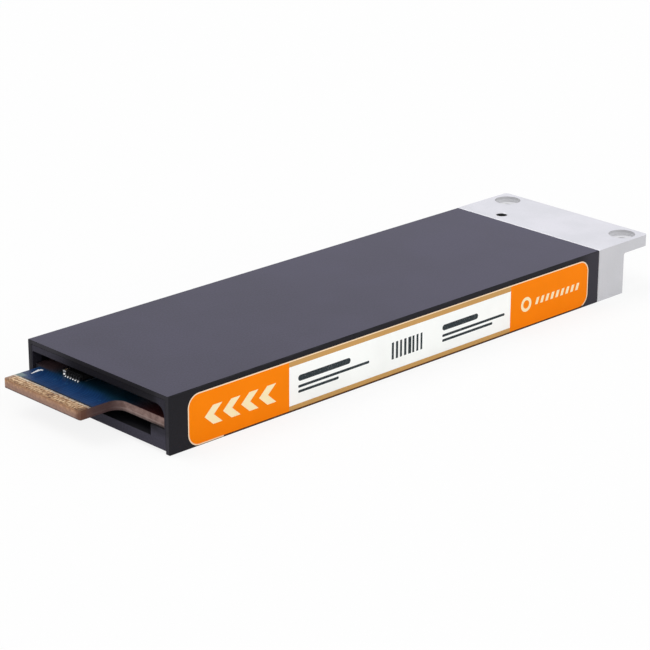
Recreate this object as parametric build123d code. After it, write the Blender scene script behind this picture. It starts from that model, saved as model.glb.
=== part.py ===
"""A ruler-shaped solid-state drive module, with a card edge in front and a latch bracket behind.

X runs along the module from the card edge to the bracket, Y across it, and Z up. The origin is
at the middle of the underside of the whole module. All sizes are in millimetres.
"""
from build123d import *
import os

# Outside of the module
overall_length = 118.75
body_width = 33.75
body_height = 9.5
tab_reach = 7.0
block_length = 6.85
flange_reach = 6.5

# Top cover, a channel open at both ends and below
cover_plate = 0.7
cover_side = 0.7
cover_edge_chamfer = 0.15
cover_foot_radius = 0.2
slip_gap = 0.05

# Base tray, which closes the channel from below and frames the front opening
tray_recess = 0.6
tray_floor = 1.6
ledge_width = 1.5
ring_depth = 1.8
ring_beam = 1.0
ring_post = 0.225
front_ledge_width = 3.4
front_ledge_length = 4.0
window_far_radius = 0.3
window_near_radius = 1.8

# Circuit board, which lies in the middle plane of the case
board_thickness = 1.57
board_side_gap = 0.15
board_front_setback = 0.5
board_end_gap = 0.3
tab_side_inset = 1.6
tab_plan_chamfer = 0.25
tab_bevel_length = 0.25
tab_bevel_height = 0.06
tab_near_fillet = 2.0
tab_far_fillet = 1.0
board_corner_radius = 0.8

# Contact fingers, twelve and sixteen on each face, with a bare land between the two groups
finger_pitch = 0.6
finger_width = 0.4
finger_length = 1.85
finger_thickness = 0.05
finger_tip_gap = 0.05
finger_edge_inset = 0.5
fingers_near = 12
fingers_far = 16
finger_group_gap = 1.7

# Latch bracket
flange_thickness = 2.07
flange_corner_radius = 0.8
flange_root_radius = 0.4
block_edge_chamfer = 0.25
pocket_wall = 1.55
arm_length = 7.0
arm_width = 3.9
latch_hole_side_inset = 3.275
latch_hole_end_inset = 3.3
latch_hole_diameter = 2.2
latch_seat_diameter = 4.7
latch_seat_depth = 1.0
led_window_diameter = 1.9
led_window_chamfer = 0.15
led_window_setback = 2.9
led_side_inset = 3.325

# Flat-head screws, driven from below
screw_thread_diameter = 2.0
screw_head_diameter = 3.8
screw_head_height = 1.0
screw_clearance = 0.05
socket_width = 1.3
socket_depth = 0.6
cover_screw_tip_gap = 1.2
bracket_screw_length = 5.0
screw_well_depth = 0.8
board_hole_clearance = 0.2
tray_boss_wall = 1.5
cover_boss_wall = 1.2
cover_screw_side_inset = 3.975
cover_screw_row_inset = 2.2
cover_screw_rear_inset = 7.2

# Parts on the board, in rows from the card edge to the bracket
package_step = 0.35
substrate_height = 0.3
upper_pad_thickness = 0.4
lower_pad_thickness = 0.565
pad_inset = 0.8

load_switch_front = 1.0
load_switch_length = 3.0
load_switch_height = 0.95
load_switch_inset = 7.6
lead_count = 6
lead_pitch = 0.62
lead_width = 0.28
lead_margin = 0.26
lead_reach = 0.65
lead_thickness = 0.16

power_row_gap = 0.85
power_side_inset = 1.5
inductor_count = 3
inductor_size = 3.6
inductor_headroom = 0.9
inductor_corner_radius = 0.6
power_chip_size = 5.0
power_chip_height = 0.9

controller_gap = 2.0
controller_size = 14.0
dram_row_gap = 1.5
dram_length = 8.5
dram_gap = 1.2
dram_side_inset = 2.65
flash_count = 4
flash_row_gap = 1.5
flash_gap = 0.9
flash_side_gap = 1.45
flash_rear_gap = 2.2

capacitors_per_side = 3
capacitor_length = 7.3
capacitor_width = 4.3
capacitor_headroom = 0.6
capacitor_terminal = 1.3
capacitor_terminal_step = 0.12
capacitor_side_inset = 1.0
capacitor_boss_gap = 1.2

crystal_length = 3.2
crystal_width = 2.5
crystal_height = 0.75
crystal_step = 0.3

small_capacitor_length = 1.6
small_capacitor_width = 0.8
small_capacitor_height = 0.6
small_capacitor_gap = 0.3
small_capacitor_rows = 3
small_capacitor_row_gap = 1.1
small_capacitors_per_row = 3
input_capacitor_front = 0.9
input_capacitor_gap = 0.15

led_length = 1.6
led_width = 0.8
led_height = 0.6

# Label on the near side, laid in a shallow recess
label_thickness = 0.12
print_thickness = 0.05
label_front_margin = 3.81
label_rear_margin = 2.73
label_bottom_margin = 0.1
label_top_margin = 0.9
label_corner_radius = 2.2
label_border = 0.2
panel_front_margin = 24.55
panel_rear_margin = 22.8
panel_bottom_margin = 0.95
panel_top_margin = 1.05

# Stations along the module
tab_tip_x = -overall_length / 2
front_x = tab_tip_x + tab_reach
flange_end_x = overall_length / 2
block_rear_x = flange_end_x - flange_reach
case_rear_x = block_rear_x - block_length
arm_front_x = case_rear_x - arm_length
shoulder_x = arm_front_x - board_end_gap
board_front_x = front_x + board_front_setback
pocket_end_x = block_rear_x - pocket_wall
board_end_x = pocket_end_x - board_end_gap
latch_hole_x = flange_end_x - latch_hole_end_inset
led_window_x = case_rear_x + led_window_setback

# Stations across it
half_width = body_width / 2
cover_inner_y = half_width - cover_side
tray_half = cover_inner_y - slip_gap
window_half = tray_half - ring_post
board_half = window_half - board_side_gap
arm_outer_y = tray_half
arm_inner_y = arm_outer_y - arm_width
tail_half = arm_inner_y - board_end_gap
latch_hole_y = half_width - latch_hole_side_inset
led_window_y = tail_half - led_side_inset
cover_screw_y = half_width - cover_screw_side_inset
group_step = finger_group_gap + finger_width
tab_width = (fingers_near + fingers_far - 2) * finger_pitch + group_step + 2 * finger_edge_inset
tab_far_y = board_half - tab_side_inset
tab_near_y = tab_far_y - tab_width
tab_centre_y = (tab_near_y + tab_far_y) / 2
first_finger_y = tab_near_y + finger_edge_inset
load_switch_width = (lead_count - 1) * lead_pitch + lead_width + 2 * lead_margin
load_switch_y = tab_far_y - load_switch_inset
load_switch_far_y = load_switch_y + load_switch_width / 2
input_capacitor_y = load_switch_far_y + input_capacitor_gap + small_capacitor_width / 2
dram_width = board_half - dram_side_inset - dram_gap / 2
capacitor_inner_y = board_half - capacitor_side_inset - capacitor_width
flash_width = 2 * (capacitor_inner_y - flash_side_gap)

# Levels
floor_z = tray_recess + tray_floor
board_bottom_z = (body_height - board_thickness) / 2
board_top_z = board_bottom_z + board_thickness
cover_inner_z = body_height - cover_plate
ring_top_z = cover_inner_z - slip_gap
window_top_z = ring_top_z - ring_beam
flange_under_z = body_height - flange_thickness
package_height = board_bottom_z - floor_z - lower_pad_thickness
package_top_z = board_top_z + package_height
pedestal_z = package_top_z + upper_pad_thickness
cover_screw_top_z = cover_inner_z - cover_screw_tip_gap
bracket_screw_top_z = tray_recess + bracket_screw_length
capacitor_top_z = cover_inner_z - capacitor_headroom
inductor_top_z = cover_inner_z - inductor_headroom

# Rows of parts, each behind the one before it
load_switch_x = front_x + load_switch_front
power_row_x = load_switch_x + load_switch_length + lead_reach + power_row_gap
controller_x = power_row_x + max(inductor_size, power_chip_size) + controller_gap
controller_end_x = controller_x + controller_size
dram_x = controller_end_x + dram_row_gap
flash_x = dram_x + dram_length + flash_row_gap
flash_end_x = shoulder_x - flash_rear_gap

# The flash packages share their length of the board
flash_length = (flash_end_x - flash_x - (flash_count - 1) * flash_gap) / flash_count

# Centres of the four screws of the cover and the two of the bracket
screw_hole_radius = screw_thread_diameter / 2
cover_screw_front_x = controller_x + cover_screw_row_inset
cover_screw_rear_x = shoulder_x - cover_screw_rear_inset
cover_screw_places = [
    (x, y)
    for x in (cover_screw_front_x, cover_screw_rear_x)
    for y in (-cover_screw_y, cover_screw_y)
]
bracket_screw_places = [
    (arm_front_x + arm_length / 2, side * (arm_inner_y + arm_width / 2)) for side in (-1, 1)
]

# The hold-up capacitors are spread from the first flash package to the rear screws
capacitor_end_x = cover_screw_rear_x - screw_hole_radius - cover_boss_wall - capacitor_boss_gap
capacitor_pitch = (capacitor_end_x - capacitor_length - flash_x) / (capacitors_per_side - 1)

# The power parts are spread across the board
power_parts_width = inductor_count * inductor_size + power_chip_size
power_part_gap = (2 * (board_half - power_side_inset) - power_parts_width) / inductor_count

# Edges of the label and of its middle panel
label_front_x = front_x + label_front_margin
label_rear_x = case_rear_x - label_rear_margin
label_low_z = label_bottom_margin
label_high_z = body_height - label_top_margin
panel_front_x = front_x + panel_front_margin
panel_rear_x = case_rear_x - panel_rear_margin
panel_low_z = label_low_z + panel_bottom_margin
panel_high_z = label_high_z - panel_top_margin


def block(x_low, x_high, y_low, y_high, z_low, z_high):
    """A rectangular block between two opposite corners."""
    centre = Pos((x_low + x_high) / 2, (y_low + y_high) / 2, (z_low + z_high) / 2)
    return centre * Box(x_high - x_low, y_high - y_low, z_high - z_low)


def rod(x, y, z_low, z_high, radius):
    """An upright cylinder between two levels."""
    return Pos(x, y, (z_low + z_high) / 2) * Cylinder(radius, z_high - z_low)


def along_x(solid, y, z):
    """The edge of a solid that runs along X nearest to a point of the cross-section."""
    return min(
        solid.edges().filter_by(Axis.X),
        key=lambda edge: (edge.center().Y - y) ** 2 + (edge.center().Z - z) ** 2,
    )


def label_blank(inset, depth_low, depth_high):
    """A slab of the label's outline, drawn in by an inset, between two depths below the near side."""
    slab = block(
        label_front_x + inset,
        label_rear_x - inset,
        depth_low - half_width,
        depth_high - half_width,
        label_low_z + inset,
        label_high_z - inset,
    )
    return fillet(slab.edges().filter_by(Axis.Y), label_corner_radius - inset)


def flat_head_screw(x, y, z_tip):
    """A flat-head screw that points up, with a square socket in its head."""
    z_head = tray_recess
    shank_radius = screw_hole_radius - screw_clearance
    head = Pos(x, y, z_head + screw_head_height / 2) * Cone(
        screw_head_diameter / 2 - screw_clearance, shank_radius, screw_head_height
    )
    shank = rod(x, y, z_head + screw_head_height, z_tip, shank_radius)
    half = socket_width / 2
    socket = block(x - half, x + half, y - half, y + half, z_head, z_head + socket_depth)
    return head + shank - socket


def screw_seat(x, y, z_top):
    """The countersunk hole that a flat-head screw passes, up to a level."""
    sink = Pos(x, y, tray_recess + screw_head_height / 2) * Cone(
        screw_head_diameter / 2, screw_hole_radius, screw_head_height
    )
    return sink + rod(x, y, tray_recess, z_top, screw_hole_radius)


def make_top_cover():
    """The channel-shaped cover, with raised faces above the chips and bosses for the screws."""
    cover = block(front_x, case_rear_x, -half_width, half_width, 0, body_height)
    long_edges = [along_x(cover, side * half_width, body_height) for side in (-1, 1)]
    cover = chamfer(long_edges, cover_edge_chamfer)
    cover -= block(front_x, case_rear_x, -cover_inner_y, cover_inner_y, 0, cover_inner_z)
    feet = cover.edges().filter_by(Axis.Y).group_by(Axis.Z)[0].group_by(Axis.X)[0]
    cover = fillet(feet, cover_foot_radius)
    half = controller_size / 2
    cover += block(controller_x, controller_end_x, -half, half, pedestal_z, cover_inner_z)
    half = flash_width / 2
    cover += block(dram_x, flash_end_x, -half, half, pedestal_z, cover_inner_z)
    well_top_z = cover_screw_top_z + screw_well_depth
    for x, y in cover_screw_places:
        cover += rod(x, y, board_top_z, cover_inner_z, screw_hole_radius + cover_boss_wall)
        cover -= rod(x, y, board_top_z, well_top_z, screw_hole_radius)
    return cover - label_blank(0, 0, label_thickness)


def make_base_tray():
    """The tray: floor, ledges under the board, screw bosses and the frame of the front opening."""
    tray = block(front_x, case_rear_x, -tray_half, tray_half, tray_recess, floor_z)
    for side in (-1, 1):
        edge_y = side * tray_half
        for x_high, width in (
            (shoulder_x, ledge_width),
            (front_x + front_ledge_length, front_ledge_width),
        ):
            inner_y = edge_y - side * width
            y_low, y_high = sorted((edge_y, inner_y))
            tray += block(front_x, x_high, y_low, y_high, floor_z, board_bottom_z)
    tray += make_front_ring()
    boss_half = screw_hole_radius + tray_boss_wall
    for x, y in cover_screw_places:
        tray += block(
            x - boss_half, x + boss_half, y - boss_half, y + boss_half, floor_z, board_bottom_z
        )
        tray -= screw_seat(x, y, board_bottom_z)
    for x, y in bracket_screw_places:
        tray -= screw_seat(x, y, floor_z)
    return tray


def make_front_ring():
    """The frame round the front opening, from the ledges up to the cover."""
    ring_rear_x = front_x + ring_depth
    ring = block(front_x, ring_rear_x, -tray_half, tray_half, board_bottom_z, ring_top_z)
    window = block(
        front_x, ring_rear_x, -window_half, window_half, board_bottom_z, window_top_z
    )
    window = fillet(along_x(window, -window_half, window_top_z), window_near_radius)
    window = fillet(along_x(window, window_half, window_top_z), window_far_radius)
    return ring - window


def make_circuit_board():
    """The board: the card edge, the wide body between the ledges and the tail inside the bracket."""
    body_length = shoulder_x - board_front_x
    outline = Pos(board_front_x + body_length / 2, 0) * Rectangle(body_length, 2 * board_half)
    outline += Pos((tab_tip_x + board_front_x) / 2, tab_centre_y) * Rectangle(
        board_front_x - tab_tip_x, tab_width
    )
    outline += Pos((shoulder_x + board_end_x) / 2, 0) * Rectangle(
        board_end_x - shoulder_x, 2 * tail_half
    )
    board = Pos(0, 0, board_bottom_z) * extrude(outline, board_thickness)

    def upright(x, y):
        return min(
            board.edges().filter_by(Axis.Z),
            key=lambda edge: (edge.center().X - x) ** 2 + (edge.center().Y - y) ** 2,
        )

    board = fillet(upright(board_front_x, tab_near_y), tab_near_fillet)
    board = fillet(upright(board_front_x, tab_far_y), tab_far_fillet)
    for side in (-1, 1):
        board = fillet(upright(shoulder_x, side * tail_half), board_corner_radius)
        board = fillet(upright(board_end_x, side * tail_half), board_corner_radius)
    board = chamfer([upright(tab_tip_x, y) for y in (tab_near_y, tab_far_y)], tab_plan_chamfer)
    board -= lead_in_bevel(board_top_z, 1)
    board -= lead_in_bevel(board_bottom_z, -1)
    for x, y in cover_screw_places:
        board -= rod(x, y, board_bottom_z, board_top_z, screw_hole_radius + board_hole_clearance)
    return board


def lead_in_bevel(face_z, up):
    """The wedge that is cut from one face of the card edge at its tip."""
    wedge = Polygon(
        (tab_tip_x, face_z),
        (tab_tip_x + tab_bevel_length, face_z),
        (tab_tip_x, face_z - up * tab_bevel_height),
        align=None,
    )
    wedge = Plane.XZ * wedge
    return Pos(0, tab_far_y, 0) * extrude(wedge, tab_width)


def make_edge_contacts(z_low):
    """One row of contact fingers in two groups."""
    x_low = tab_tip_x + tab_bevel_length + finger_tip_gap
    fingers = []
    for index in range(fingers_near + fingers_far):
        y = first_finger_y + index * finger_pitch
        if index >= fingers_near:
            y += group_step - finger_pitch
        half = finger_width / 2
        fingers.append(
            block(x_low, x_low + finger_length, y - half, y + half, z_low, z_low + finger_thickness)
        )
    return Compound(fingers)


def make_latch_bracket():
    """The machined end: a solid block with a flange, a pocket for the board and two arms."""
    bracket = block(case_rear_x, block_rear_x, -half_width, half_width, 0, body_height)
    front_edges = bracket.faces().sort_by(Axis.X)[0].edges()
    bracket = chamfer(front_edges, block_edge_chamfer)
    flange = block(
        case_rear_x + block_length / 2,
        flange_end_x,
        -half_width,
        half_width,
        flange_under_z,
        body_height,
    )
    corners = flange.edges().filter_by(Axis.Z).group_by(Axis.X)[-1]
    bracket += fillet(corners, flange_corner_radius)
    root = min(
        bracket.edges().filter_by(Axis.Y),
        key=lambda edge: abs(edge.center().X - block_rear_x) + abs(edge.center().Z - flange_under_z),
    )
    bracket = fillet(root, flange_root_radius)
    bracket -= block(
        case_rear_x, pocket_end_x, -arm_inner_y, arm_inner_y, floor_z, flange_under_z
    )
    for side in (-1, 1):
        y_low, y_high = sorted((side * arm_inner_y, side * arm_outer_y))
        bracket += block(
            arm_front_x, case_rear_x + block_edge_chamfer, y_low, y_high, floor_z, ring_top_z
        )
    for x, y in bracket_screw_places:
        bracket -= rod(x, y, floor_z, bracket_screw_top_z + screw_well_depth, screw_hole_radius)
    for y in (-latch_hole_y, latch_hole_y):
        bracket -= rod(latch_hole_x, y, flange_under_z, body_height, latch_hole_diameter / 2)
        seat_z = body_height - latch_seat_depth
        bracket -= rod(latch_hole_x, y, seat_z, body_height, latch_seat_diameter / 2)
    window_radius = led_window_diameter / 2
    bracket -= rod(led_window_x, led_window_y, flange_under_z, body_height, window_radius)
    rim = Pos(led_window_x, led_window_y, body_height - led_window_chamfer / 2) * Cone(
        window_radius, window_radius + led_window_chamfer, led_window_chamfer
    )
    return bracket - rim


def make_package(x_low, y_centre, length, width, z_face, up):
    """A chip package on one face of the board: a substrate with a smaller moulded cap."""
    z_step = z_face + up * substrate_height
    z_far = z_face + up * package_height
    low, high = sorted((z_face, z_step))
    package = block(x_low, x_low + length, y_centre - width / 2, y_centre + width / 2, low, high)
    low, high = sorted((z_step, z_far))
    return package + block(
        x_low + package_step,
        x_low + length - package_step,
        y_centre - width / 2 + package_step,
        y_centre + width / 2 - package_step,
        low,
        high,
    )


def make_load_switch():
    """The small chip just behind the card edge, with bent leads along both long sides."""
    x_low = load_switch_x
    x_high = x_low + load_switch_length
    z_low = board_top_z + lead_thickness
    z_high = board_top_z + load_switch_height
    half = load_switch_width / 2
    chip = block(x_low, x_high, load_switch_y - half, load_switch_y + half, z_low, z_high)
    lead_z = (z_low + z_high) / 2
    for index in range(lead_count):
        y = load_switch_y + (index - (lead_count - 1) / 2) * lead_pitch
        y_low, y_high = y - lead_width / 2, y + lead_width / 2
        for edge_x, out in ((x_low, -1), (x_high, 1)):
            knee_x = edge_x + out * lead_reach / 2
            toe_x = edge_x + out * lead_reach
            near, far = sorted((edge_x, knee_x + out * lead_thickness))
            chip += block(near, far, y_low, y_high, lead_z, lead_z + lead_thickness)
            near, far = sorted((knee_x, knee_x + out * lead_thickness))
            chip += block(near, far, y_low, y_high, board_top_z, lead_z)
            near, far = sorted((knee_x, toe_x))
            chip += block(near, far, y_low, y_high, board_top_z, board_top_z + lead_thickness)
    return chip


def make_inductor(y_low):
    """A moulded power inductor with rounded corners."""
    body = block(
        power_row_x,
        power_row_x + inductor_size,
        y_low,
        y_low + inductor_size,
        board_top_z,
        inductor_top_z,
    )
    return fillet(body.edges().filter_by(Axis.Z), inductor_corner_radius)


def make_hold_up_capacitor(x_low, side):
    """A moulded capacitor near one side of the board: a body between two thinner end terminals."""
    x_high = x_low + capacitor_length
    half = capacitor_width / 2
    y_centre = side * (capacitor_inner_y + half)
    terminals = block(
        x_low,
        x_high,
        y_centre - half + capacitor_terminal_step,
        y_centre + half - capacitor_terminal_step,
        board_top_z,
        capacitor_top_z - capacitor_terminal_step,
    )
    body = block(
        x_low + capacitor_terminal,
        x_high - capacitor_terminal,
        y_centre - half,
        y_centre + half,
        board_top_z,
        capacitor_top_z,
    )
    return terminals + body


def make_crystal():
    """The clock crystal: a ceramic tray with a smaller metal lid."""
    x_high = controller_end_x
    x_low = x_high - crystal_length
    y_low = (controller_size / 2 + board_half - crystal_width) / 2
    y_high = y_low + crystal_width
    z_step = board_top_z + crystal_height - crystal_step
    tray = block(x_low, x_high, y_low, y_high, board_top_z, z_step)
    return tray + block(
        x_low + crystal_step,
        x_high - crystal_step,
        y_low + crystal_step,
        y_high - crystal_step,
        z_step,
        z_step + crystal_step,
    )


def small_capacitor(x_low, y_centre):
    """One small ceramic capacitor on the top of the board."""
    half = small_capacitor_width / 2
    return block(
        x_low,
        x_low + small_capacitor_length,
        y_centre - half,
        y_centre + half,
        board_top_z,
        board_top_z + small_capacitor_height,
    )


def make_ceramic_capacitors():
    """The input capacitor beside the load switch and the rows beside the controller."""
    group = [small_capacitor(front_x + input_capacitor_front, input_capacitor_y)]
    middle_y = -(controller_size / 2 + board_half) / 2
    for row in range(small_capacitor_rows):
        step = row - (small_capacitor_rows - 1) / 2
        y = middle_y + step * (small_capacitor_width + small_capacitor_row_gap)
        for index in range(small_capacitors_per_row):
            x_high = controller_end_x - index * (small_capacitor_length + small_capacitor_gap)
            group.append(small_capacitor(x_high - small_capacitor_length, y))
    return Compound(group)


def make_pad(x_low, x_high, half, z_low, z_high):
    """A strip of soft thermal pad, a little smaller than what it lies on."""
    return block(x_low + pad_inset, x_high - pad_inset, pad_inset - half, half - pad_inset, z_low, z_high)


def make_print_field(x_low, x_high, z_low, z_high):
    """One printed field of the label, inside the label's border."""
    field = label_blank(label_border, 0, print_thickness)
    return field & block(x_low, x_high, -half_width, print_thickness - half_width, z_low, z_high)


def build_parts():
    """Every piece of the module, by name."""
    parts = {
        "top_cover": make_top_cover(),
        "base_tray": make_base_tray(),
        "latch_bracket": make_latch_bracket(),
        "circuit_board": make_circuit_board(),
        "edge_contacts_top": make_edge_contacts(board_top_z),
        "edge_contacts_bottom": make_edge_contacts(board_bottom_z - finger_thickness),
        "load_switch_chip": make_load_switch(),
        "clock_crystal": make_crystal(),
        "ceramic_capacitors": make_ceramic_capacitors(),
    }
    parts["cover_screws"] = Compound(
        [flat_head_screw(x, y, cover_screw_top_z) for x, y in cover_screw_places]
    )
    parts["bracket_screws"] = Compound(
        [flat_head_screw(x, y, bracket_screw_top_z) for x, y in bracket_screw_places]
    )

    parts["controller_chip"] = make_package(
        controller_x, 0, controller_size, controller_size, board_top_z, 1
    )
    for index, side in enumerate((-1, 1), start=1):
        y = side * (dram_gap + dram_width) / 2
        parts[f"dram_chip_{index}"] = make_package(
            dram_x, y, dram_length, dram_width, board_top_z, 1
        )
    for index in range(flash_count):
        x_low = flash_x + index * (flash_length + flash_gap)
        parts[f"flash_chip_{index + 1}"] = make_package(
            x_low, 0, flash_length, flash_width, board_top_z, 1
        )
        parts[f"flash_chip_{index + 1 + flash_count}"] = make_package(
            x_low, 0, flash_length, flash_width, board_bottom_z, -1
        )

    power_row_y = power_side_inset - board_half
    inductor_pitch = inductor_size + power_part_gap
    for index in range(inductor_count):
        parts[f"power_inductor_{index + 1}"] = make_inductor(power_row_y + index * inductor_pitch)
    power_chip_y = power_row_y + inductor_count * inductor_pitch
    parts["power_manager_chip"] = block(
        power_row_x,
        power_row_x + power_chip_size,
        power_chip_y,
        power_chip_y + power_chip_size,
        board_top_z,
        board_top_z + power_chip_height,
    )
    for index in range(capacitors_per_side):
        x_low = flash_x + index * capacitor_pitch
        for side, first in ((-1, 1), (1, 1 + capacitors_per_side)):
            parts[f"hold_up_capacitor_{first + index}"] = make_hold_up_capacitor(x_low, side)
    parts["status_led"] = block(
        led_window_x - led_length / 2,
        led_window_x + led_length / 2,
        led_window_y - led_width / 2,
        led_window_y + led_width / 2,
        board_top_z,
        board_top_z + led_height,
    )

    parts["controller_pad"] = make_pad(
        controller_x, controller_end_x, controller_size / 2, package_top_z, pedestal_z
    )
    parts["dram_pad"] = make_pad(
        dram_x, dram_x + dram_length, flash_width / 2, package_top_z, pedestal_z
    )
    parts["flash_pad_top"] = make_pad(
        flash_x, flash_end_x, flash_width / 2, package_top_z, pedestal_z
    )
    parts["flash_pad_bottom"] = make_pad(
        flash_x, flash_end_x, flash_width / 2, floor_z, board_bottom_z - package_height
    )

    label = label_blank(0, 0, label_thickness)
    parts["label_sheet"] = label - label_blank(label_border, 0, print_thickness)
    parts["label_panel"] = make_print_field(panel_front_x, panel_rear_x, panel_low_z, panel_high_z)
    lower_stripe = make_print_field(panel_front_x, panel_rear_x, label_low_z, panel_low_z)
    upper_stripe = make_print_field(panel_front_x, panel_rear_x, panel_high_z, label_high_z)
    parts["label_stripes"] = lower_stripe + upper_stripe
    front_field = make_print_field(label_front_x, panel_front_x, label_low_z, label_high_z)
    rear_field = make_print_field(panel_rear_x, label_rear_x, label_low_z, label_high_z)
    parts["label_end_fields"] = front_field + rear_field
    return parts


def main():
    """Write each piece to a file of its own."""
    os.makedirs("parts", exist_ok=True)
    for name, piece in build_parts().items():
        export_step(piece, f"parts/{name}.step")


main()
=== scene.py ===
"""Looks of the ruler-shaped drive module: finishes, label print, small parts, light, camera."""
import math

import bmesh
import bpy
from mathutils import Matrix, Vector


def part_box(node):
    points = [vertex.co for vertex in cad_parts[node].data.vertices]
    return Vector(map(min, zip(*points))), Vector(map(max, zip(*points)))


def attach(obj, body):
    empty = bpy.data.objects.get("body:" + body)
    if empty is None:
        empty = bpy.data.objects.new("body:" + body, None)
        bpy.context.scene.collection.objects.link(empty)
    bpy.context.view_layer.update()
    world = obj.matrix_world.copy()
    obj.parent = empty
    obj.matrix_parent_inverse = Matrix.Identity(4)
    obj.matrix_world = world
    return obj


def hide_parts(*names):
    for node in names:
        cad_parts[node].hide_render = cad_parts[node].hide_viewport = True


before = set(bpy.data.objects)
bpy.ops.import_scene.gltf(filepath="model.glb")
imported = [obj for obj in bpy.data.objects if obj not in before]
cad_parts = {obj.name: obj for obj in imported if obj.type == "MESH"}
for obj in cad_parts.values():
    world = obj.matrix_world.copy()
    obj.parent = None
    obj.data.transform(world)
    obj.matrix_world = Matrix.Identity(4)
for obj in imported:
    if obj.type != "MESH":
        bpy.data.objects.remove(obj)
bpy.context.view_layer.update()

MM = 0.001


# Places read from the model's parts, in millimetres

def box_of(node):
    """Lowest and highest corner of a node."""
    low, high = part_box(node)
    return low / MM, high / MM


def islands_of(node):
    """The corner pairs of each separate solid of a node, from the card edge to the bracket."""
    mesh = bmesh.new()
    mesh.from_mesh(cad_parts[node].data)
    bmesh.ops.remove_doubles(mesh, verts=mesh.verts, dist=MM / 1000)
    left = set(mesh.verts)
    found = []
    while left:
        group = [left.pop()]
        for vert in group:
            for edge in vert.link_edges:
                other = edge.other_vert(vert)
                if other in left:
                    left.remove(other)
                    group.append(other)
        found.append(
            tuple(
                Vector([pick(vert.co[axis] / MM for vert in group) for axis in range(3)])
                for pick in (min, max)
            )
        )
    mesh.free()
    return sorted(found, key=lambda pair: tuple(round(value, 3) for value in pair[0]))


cover_low, cover_high = box_of("top_cover")
board_low, board_high = box_of("circuit_board")
finger_low, finger_high = box_of("edge_contacts_top")
switch_low, switch_high = box_of("load_switch_chip")
panel_low, panel_high = box_of("label_panel")
label_low, label_high = box_of("label_sheet")
bracket_high = box_of("latch_bracket")[1]
led_low, led_high = box_of("status_led")

# Bores of the bracket, the latch holes measured from its rear corners, and where their finish
# starts and ends below its top
LATCH_HOLE_END = 3.3
LATCH_HOLE_SIDE = 3.275
LATCH_SEAT_RADIUS = 2.38
SEAT_RIM = 0.45
LED_BORE_RADIUS = 0.98
BORE_START = 0.04
BORE_DEPTH = 2.0

# Leads of the load switch, from its body to their ends
LEAD_REACH = 0.64
LEAD_TOE = 0.155
LEAD_COUNT = 6
LEAD_PITCH = 0.62


# Finishes

class Value:
    """One output of a finish's nodes. Arithmetic on it adds Math nodes."""

    def __init__(self, finish, socket):
        self.finish = finish
        self.socket = socket

    def math(self, operation, *terms):
        return self.finish.node("ShaderNodeMath", {"operation": operation}, dict(enumerate(terms)))

    def __add__(self, other):
        return self.math("ADD", self, other)

    def __radd__(self, other):
        return self.math("ADD", other, self)

    def __sub__(self, other):
        return self.math("SUBTRACT", self, other)

    def __rsub__(self, other):
        return self.math("SUBTRACT", other, self)

    def __mul__(self, other):
        return self.math("MULTIPLY", self, other)

    def __rmul__(self, other):
        return self.math("MULTIPLY", other, self)

    def __truediv__(self, other):
        return self.math("DIVIDE", self, other)

    def __abs__(self):
        return self.math("ABSOLUTE", self)

    def __lt__(self, other):
        return self.math("LESS_THAN", self, other)

    def __gt__(self, other):
        return self.math("GREATER_THAN", self, other)

    def __or__(self, other):
        return self.math("MAXIMUM", self, other)

    def fraction(self):
        return self.math("FRACT", self)

    def whole(self):
        return self.math("FLOOR", self)

    def between(self, low, high):
        """1 where the value lies between two limits."""
        return (self > low) * (self < high)

    def ranged(self, from_low, from_high, to_low=0.0, to_high=1.0):
        """The value carried from one range to another, eased at both ends."""
        return self.finish.node(
            "ShaderNodeMapRange",
            {"interpolation_type": "SMOOTHSTEP"},
            {0: self, 1: from_low, 2: from_high, 3: to_low, 4: to_high},
        )


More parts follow.
